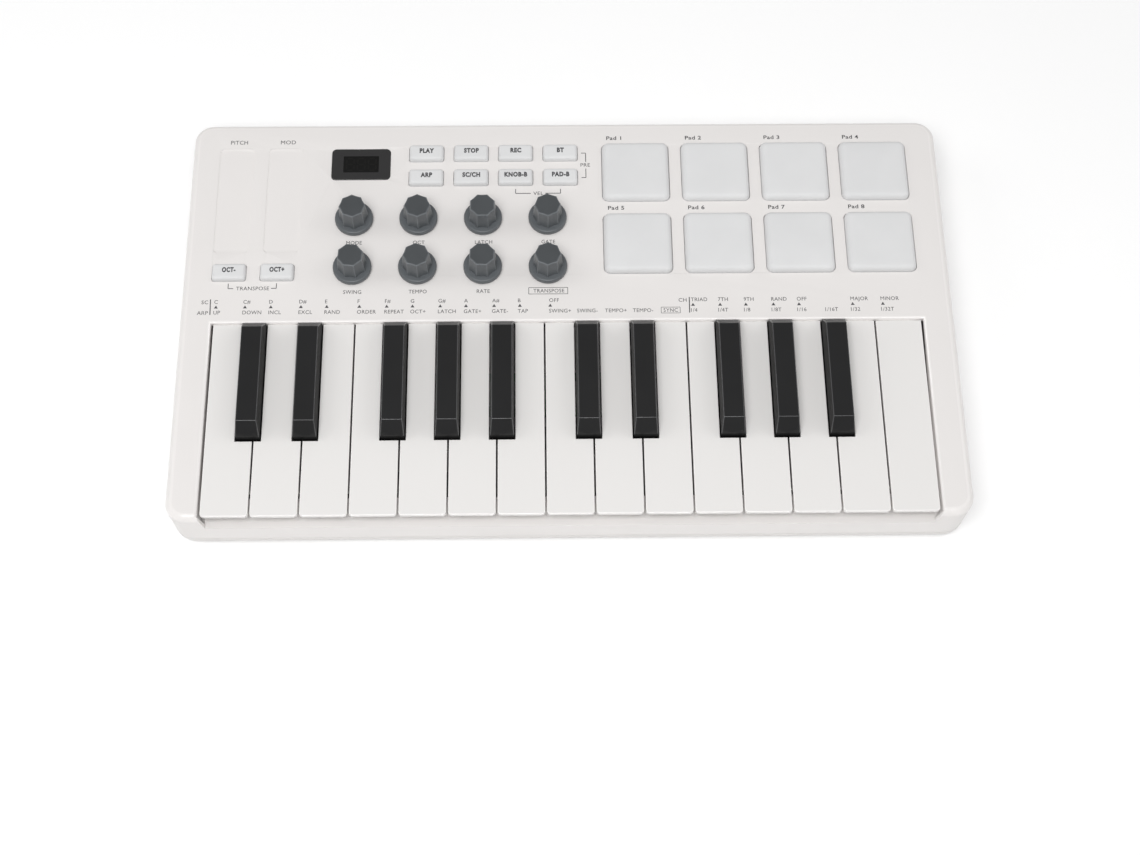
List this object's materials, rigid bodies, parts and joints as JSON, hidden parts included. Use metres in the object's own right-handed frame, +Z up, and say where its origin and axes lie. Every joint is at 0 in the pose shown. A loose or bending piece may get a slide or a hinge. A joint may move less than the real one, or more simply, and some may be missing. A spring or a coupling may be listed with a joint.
{
  "type": "midi keyboard controller",
  "caption": "Compact desktop MIDI keyboard controller: hinged mini keys, fluted rotary knobs, square drum pads, push buttons, touch strips and a small display in a white two-shell case.",
  "frame": {"origin": "on the desk, under the middle of the case's plan", "axes": "+X to the player's right along the keys, +Y from the player to the rear panel, +Z up"},
  "size_m": [0.3278, 0.1898, 0.039],
  "materials": {
    "case_white": "fine moulded texture",
    "key_white": "satin",
    "key_black": "satin",
    "knob_grey": "satin",
    "pad_silicone": "matte silicone",
    "window_dark": "gloss",
    "frame_plastic": "moulded",
    "contact_rubber": "matte",
    "board_green": "solder mask",
    "socket_metal": "satin",
    "steel": "blackened",
    "foot_rubber": "matte"
  },
  "bodies": {
    "root": {"upper_case": "case_white", "lower_case": "case_white", "key_frame": "frame_plastic", "key_contacts": "contact_rubber", "control_board": "board_green", "rear_sockets": "socket_metal", "display_window": "window_dark", "screws": "steel", "rubber_feet": "foot_rubber"},
    "key_c_1": {"key_c_1": "key_white"},
    "key_c_sharp_1": {"key_c_sharp_1": "key_black"},
    "key_d_1": {"key_d_1": "key_white"},
    "key_d_sharp_1": {"key_d_sharp_1": "key_black"},
    "key_e_1": {"key_e_1": "key_white"},
    "key_f_1": {"key_f_1": "key_white"},
    "key_f_sharp_1": {"key_f_sharp_1": "key_black"},
    "key_g_1": {"key_g_1": "key_white"},
    "key_g_sharp_1": {"key_g_sharp_1": "key_black"},
    "key_a_1": {"key_a_1": "key_white"},
    "key_a_sharp_1": {"key_a_sharp_1": "key_black"},
    "key_b_1": {"key_b_1": "key_white"},
    "key_c_2": {"key_c_2": "key_white"},
    "key_c_sharp_2": {"key_c_sharp_2": "key_black"},
    "key_d_2": {"key_d_2": "key_white"},
    "key_d_sharp_2": {"key_d_sharp_2": "key_black"},
    "key_e_2": {"key_e_2": "key_white"},
    "key_f_2": {"key_f_2": "key_white"},
    "key_f_sharp_2": {"key_f_sharp_2": "key_black"},
    "key_g_2": {"key_g_2": "key_white"},
    "key_g_sharp_2": {"key_g_sharp_2": "key_black"},
    "key_a_2": {"key_a_2": "key_white"},
    "key_a_sharp_2": {"key_a_sharp_2": "key_black"},
    "key_b_2": {"key_b_2": "key_white"},
    "key_c_3": {"key_c_3": "key_white"},
    "knob_1": {"knob_1": "knob_grey"},
    "knob_2": {"knob_2": "knob_grey"},
    "knob_3": {"knob_3": "knob_grey"},
    "knob_4": {"knob_4": "knob_grey"},
    "knob_5": {"knob_5": "knob_grey"},
    "knob_6": {"knob_6": "knob_grey"},
    "knob_7": {"knob_7": "knob_grey"},
    "knob_8": {"knob_8": "knob_grey"},
    "pad_1": {"pad_1": "pad_silicone"},
    "pad_2": {"pad_2": "pad_silicone"},
    "pad_3": {"pad_3": "pad_silicone"},
    "pad_4": {"pad_4": "pad_silicone"},
    "pad_5": {"pad_5": "pad_silicone"},
    "pad_6": {"pad_6": "pad_silicone"},
    "pad_7": {"pad_7": "pad_silicone"},
    "pad_8": {"pad_8": "pad_silicone"},
    "button_play": {"button_play": "pad_silicone"},
    "button_stop": {"button_stop": "pad_silicone"},
    "button_rec": {"button_rec": "pad_silicone"},
    "button_bt": {"button_bt": "pad_silicone"},
    "button_arp": {"button_arp": "pad_silicone"},
    "button_scale": {"button_scale": "pad_silicone"},
    "button_knob_bank": {"button_knob_bank": "pad_silicone"},
    "button_pad_bank": {"button_pad_bank": "pad_silicone"},
    "button_octave_down": {"button_octave_down": "pad_silicone"},
    "button_octave_up": {"button_octave_up": "pad_silicone"}
  },
  "joints": [
    {"name": "key_c_1_press", "type": "hinge", "parent": "root", "child": "key_c_1", "pos_m": [-0.14, 0.00865, 0.0195], "axis": [1, 0, 0], "range_deg": [0, 2.2], "stiffness_Nm_per_rad": 0.5, "springref_deg": -4.01},
    {"name": "key_c_sharp_1_press", "type": "hinge", "parent": "root", "child": "key_c_sharp_1", "pos_m": [-0.1321, 0.00865, 0.0195], "axis": [1, 0, 0], "range_deg": [0, 2.2], "stiffness_Nm_per_rad": 0.5, "springref_deg": -4.01},
    {"name": "key_d_1_press", "type": "hinge", "parent": "root", "child": "key_d_1", "pos_m": [-0.12, 0.00865, 0.0195], "axis": [1, 0, 0], "range_deg": [0, 2.2], "stiffness_Nm_per_rad": 0.5, "springref_deg": -4.01},
    {"name": "key_d_sharp_1_press", "type": "hinge", "parent": "root", "child": "key_d_sharp_1", "pos_m": [-0.1087, 0.00865, 0.0195], "axis": [1, 0, 0], "range_deg": [0, 2.2], "stiffness_Nm_per_rad": 0.5, "springref_deg": -4.01},
    {"name": "key_e_1_press", "type": "hinge", "parent": "root", "child": "key_e_1", "pos_m": [-0.1, 0.00865, 0.0195], "axis": [1, 0, 0], "range_deg": [0, 2.2], "stiffness_Nm_per_rad": 0.5, "springref_deg": -4.01},
    {"name": "key_f_1_press", "type": "hinge", "parent": "root", "child": "key_f_1", "pos_m": [-0.08, 0.00865, 0.0195], "axis": [1, 0, 0], "range_deg": [0, 2.2], "stiffness_Nm_per_rad": 0.5, "springref_deg": -4.01},
    {"name": "key_f_sharp_1_press", "type": "hinge", "parent": "root", "child": "key_f_sharp_1", "pos_m": [-0.0728, 0.00865, 0.0195], "axis": [1, 0, 0], "range_deg": [0, 2.2], "stiffness_Nm_per_rad": 0.5, "springref_deg": -4.01},
    {"name": "key_g_1_press", "type": "hinge", "parent": "root", "child": "key_g_1", "pos_m": [-0.06, 0.00865, 0.0195], "axis": [1, 0, 0], "range_deg": [0, 2.2], "stiffness_Nm_per_rad": 0.5, "springref_deg": -4.01},
    {"name": "key_g_sharp_1_press", "type": "hinge", "parent": "root", "child": "key_g_sharp_1", "pos_m": [-0.0504, 0.00865, 0.0195], "axis": [1, 0, 0], "range_deg": [0, 2.2], "stiffness_Nm_per_rad": 0.5, "springref_deg": -4.01},
    {"name": "key_a_1_press", "type": "hinge", "parent": "root", "child": "key_a_1", "pos_m": [-0.04, 0.00865, 0.0195], "axis": [1, 0, 0], "range_deg": [0, 2.2], "stiffness_Nm_per_rad": 0.5, "springref_deg": -4.01},
    {"name": "key_a_sharp_1_press", "type": "hinge", "parent": "root", "child": "key_a_sharp_1", "pos_m": [-0.0278, 0.00865, 0.0195], "axis": [1, 0, 0], "range_deg": [0, 2.2], "stiffness_Nm_per_rad": 0.5, "springref_deg": -4.01},
    {"name": "key_b_1_press", "type": "hinge", "parent": "root", "child": "key_b_1", "pos_m": [-0.02, 0.00865, 0.0195], "axis": [1, 0, 0], "range_deg": [0, 2.2], "stiffness_Nm_per_rad": 0.5, "springref_deg": -4.01},
    {"name": "key_c_2_press", "type": "hinge", "parent": "root", "child": "key_c_2", "pos_m": [0, 0.00865, 0.0195], "axis": [1, 0, 0], "range_deg": [0, 2.2], "stiffness_Nm_per_rad": 0.5, "springref_deg": -4.01},
    {"name": "key_c_sharp_2_press", "type": "hinge", "parent": "root", "child": "key_c_sharp_2", "pos_m": [0.0079, 0.00865, 0.0195], "axis": [1, 0, 0], "range_deg": [0, 2.2], "stiffness_Nm_per_rad": 0.5, "springref_deg": -4.01},
    {"name": "key_d_2_press", "type": "hinge", "parent": "root", "child": "key_d_2", "pos_m": [0.02, 0.00865, 0.0195], "axis": [1, 0, 0], "range_deg": [0, 2.2], "stiffness_Nm_per_rad": 0.5, "springref_deg": -4.01},
    {"name": "key_d_sharp_2_press", "type": "hinge", "parent": "root", "child": "key_d_sharp_2", "pos_m": [0.0313, 0.00865, 0.0195], "axis": [1, 0, 0], "range_deg": [0, 2.2], "stiffness_Nm_per_rad": 0.5, "springref_deg": -4.01},
    {"name": "key_e_2_press", "type": "hinge", "parent": "root", "child": "key_e_2", "pos_m": [0.04, 0.00865, 0.0195], "axis": [1, 0, 0], "range_deg": [0, 2.2], "stiffness_Nm_per_rad": 0.5, "springref_deg": -4.01},
    {"name": "key_f_2_press", "type": "hinge", "parent": "root", "child": "key_f_2", "pos_m": [0.06, 0.00865, 0.0195], "axis": [1, 0, 0], "range_deg": [0, 2.2], "stiffness_Nm_per_rad": 0.5, "springref_deg": -4.01},
    {"name": "key_f_sharp_2_press", "type": "hinge", "parent": "root", "child": "key_f_sharp_2", "pos_m": [0.0672, 0.00865, 0.0195], "axis": [1, 0, 0], "range_deg": [0, 2.2], "stiffness_Nm_per_rad": 0.5, "springref_deg": -4.01},
    {"name": "key_g_2_press", "type": "hinge", "parent": "root", "child": "key_g_2", "pos_m": [0.08, 0.00865, 0.0195], "axis": [1, 0, 0], "range_deg": [0, 2.2], "stiffness_Nm_per_rad": 0.5, "springref_deg": -4.01},
    {"name": "key_g_sharp_2_press", "type": "hinge", "parent": "root", "child": "key_g_sharp_2", "pos_m": [0.0896, 0.00865, 0.0195], "axis": [1, 0, 0], "range_deg": [0, 2.2], "stiffness_Nm_per_rad": 0.5, "springref_deg": -4.01},
    {"name": "key_a_2_press", "type": "hinge", "parent": "root", "child": "key_a_2", "pos_m": [0.1, 0.00865, 0.0195], "axis": [1, 0, 0], "range_deg": [0, 2.2], "stiffness_Nm_per_rad": 0.5, "springref_deg": -4.01},
    {"name": "key_a_sharp_2_press", "type": "hinge", "parent": "root", "child": "key_a_sharp_2", "pos_m": [0.1122, 0.00865, 0.0195], "axis": [1, 0, 0], "range_deg": [0, 2.2], "stiffness_Nm_per_rad": 0.5, "springref_deg": -4.01},
    {"name": "key_b_2_press", "type": "hinge", "parent": "root", "child": "key_b_2", "pos_m": [0.12, 0.00865, 0.0195], "axis": [1, 0, 0], "range_deg": [0, 2.2], "stiffness_Nm_per_rad": 0.5, "springref_deg": -4.01},
    {"name": "key_c_3_press", "type": "hinge", "parent": "root", "child": "key_c_3", "pos_m": [0.14, 0.00865, 0.0195], "axis": [1, 0, 0], "range_deg": [0, 2.2], "stiffness_Nm_per_rad": 0.5, "springref_deg": -4.01},
    {"name": "knob_1_turn", "type": "hinge", "parent": "root", "child": "knob_1", "pos_m": [-0.0919, 0.0449, 0.0275], "axis": [0, 0, 1], "continuous": true},
    {"name": "knob_2_turn", "type": "hinge", "parent": "root", "child": "knob_2", "pos_m": [-0.0641, 0.0449, 0.0275], "axis": [0, 0, 1], "continuous": true},
    {"name": "knob_3_turn", "type": "hinge", "parent": "root", "child": "knob_3", "pos_m": [-0.0362, 0.0449, 0.0275], "axis": [0, 0, 1], "continuous": true},
    {"name": "knob_4_turn", "type": "hinge", "parent": "root", "child": "knob_4", "pos_m": [-0.0083, 0.0449, 0.0275], "axis": [0, 0, 1], "continuous": true},
    {"name": "knob_5_turn", "type": "hinge", "parent": "root", "child": "knob_5", "pos_m": [-0.0919, 0.02075, 0.0275], "axis": [0, 0, 1], "continuous": true},
    {"name": "knob_6_turn", "type": "hinge", "parent": "root", "child": "knob_6", "pos_m": [-0.0641, 0.02075, 0.0275], "axis": [0, 0, 1], "continuous": true},
    {"name": "knob_7_turn", "type": "hinge", "parent": "root", "child": "knob_7", "pos_m": [-0.0362, 0.02075, 0.0275], "axis": [0, 0, 1], "continuous": true},
    {"name": "knob_8_turn", "type": "hinge", "parent": "root", "child": "knob_8", "pos_m": [-0.0083, 0.02075, 0.0275], "axis": [0, 0, 1], "continuous": true},
    {"name": "pad_1_press", "type": "slide", "parent": "root", "child": "pad_1", "axis": [0, 0, -1], "range_m": [0, 0.001], "stiffness_N_per_m": 1000, "springref_m": -0.001},
    {"name": "pad_2_press", "type": "slide", "parent": "root", "child": "pad_2", "axis": [0, 0, -1], "range_m": [0, 0.001], "stiffness_N_per_m": 1000, "springref_m": -0.001},
    {"name": "pad_3_press", "type": "slide", "parent": "root", "child": "pad_3", "axis": [0, 0, -1], "range_m": [0, 0.001], "stiffness_N_per_m": 1000, "springref_m": -0.001},
    {"name": "pad_4_press", "type": "slide", "parent": "root", "child": "pad_4", "axis": [0, 0, -1], "range_m": [0, 0.001], "stiffness_N_per_m": 1000, "springref_m": -0.001},
    {"name": "pad_5_press", "type": "slide", "parent": "root", "child": "pad_5", "axis": [0, 0, -1], "range_m": [0, 0.001], "stiffness_N_per_m": 1000, "springref_m": -0.001},
    {"name": "pad_6_press", "type": "slide", "parent": "root", "child": "pad_6", "axis": [0, 0, -1], "range_m": [0, 0.001], "stiffness_N_per_m": 1000, "springref_m": -0.001},
    {"name": "pad_7_press", "type": "slide", "parent": "root", "child": "pad_7", "axis": [0, 0, -1], "range_m": [0, 0.001], "stiffness_N_per_m": 1000, "springref_m": -0.001},
    {"name": "pad_8_press", "type": "slide", "parent": "root", "child": "pad_8", "axis": [0, 0, -1], "range_m": [0, 0.001], "stiffness_N_per_m": 1000, "springref_m": -0.001},
    {"name": "button_play_press", "type": "slide", "parent": "root", "child": "button_play", "axis": [0, 0, -1], "range_m": [0, 0.001], "stiffness_N_per_m": 200, "springref_m": -0.004},
    {"name": "button_stop_press", "type": "slide", "parent": "root", "child": "button_stop", "axis": [0, 0, -1], "range_m": [0, 0.001], "stiffness_N_per_m": 200, "springref_m": -0.004},
    {"name": "button_rec_press", "type": "slide", "parent": "root", "child": "button_rec", "axis": [0, 0, -1], "range_m": [0, 0.001], "stiffness_N_per_m": 200, "springref_m": -0.004},
    {"name": "button_bt_press", "type": "slide", "parent": "root", "child": "button_bt", "axis": [0, 0, -1], "range_m": [0, 0.001], "stiffness_N_per_m": 200, "springref_m": -0.004},
    {"name": "button_arp_press", "type": "slide", "parent": "root", "child": "button_arp", "axis": [0, 0, -1], "range_m": [0, 0.001], "stiffness_N_per_m": 200, "springref_m": -0.004},
    {"name": "button_scale_press", "type": "slide", "parent": "root", "child": "button_scale", "axis": [0, 0, -1], "range_m": [0, 0.001], "stiffness_N_per_m": 200, "springref_m": -0.004},
    {"name": "button_knob_bank_press", "type": "slide", "parent": "root", "child": "button_knob_bank", "axis": [0, 0, -1], "range_m": [0, 0.001], "stiffness_N_per_m": 200, "springref_m": -0.004},
    {"name": "button_pad_bank_press", "type": "slide", "parent": "root", "child": "button_pad_bank", "axis": [0, 0, -1], "range_m": [0, 0.001], "stiffness_N_per_m": 200, "springref_m": -0.004},
    {"name": "button_octave_down_press", "type": "slide", "parent": "root", "child": "button_octave_down", "axis": [0, 0, -1], "range_m": [0, 0.001], "stiffness_N_per_m": 200, "springref_m": -0.004},
    {"name": "button_octave_up_press", "type": "slide", "parent": "root", "child": "button_octave_up", "axis": [0, 0, -1], "range_m": [0, 0.001], "stiffness_N_per_m": 200, "springref_m": -0.004}
  ]
}
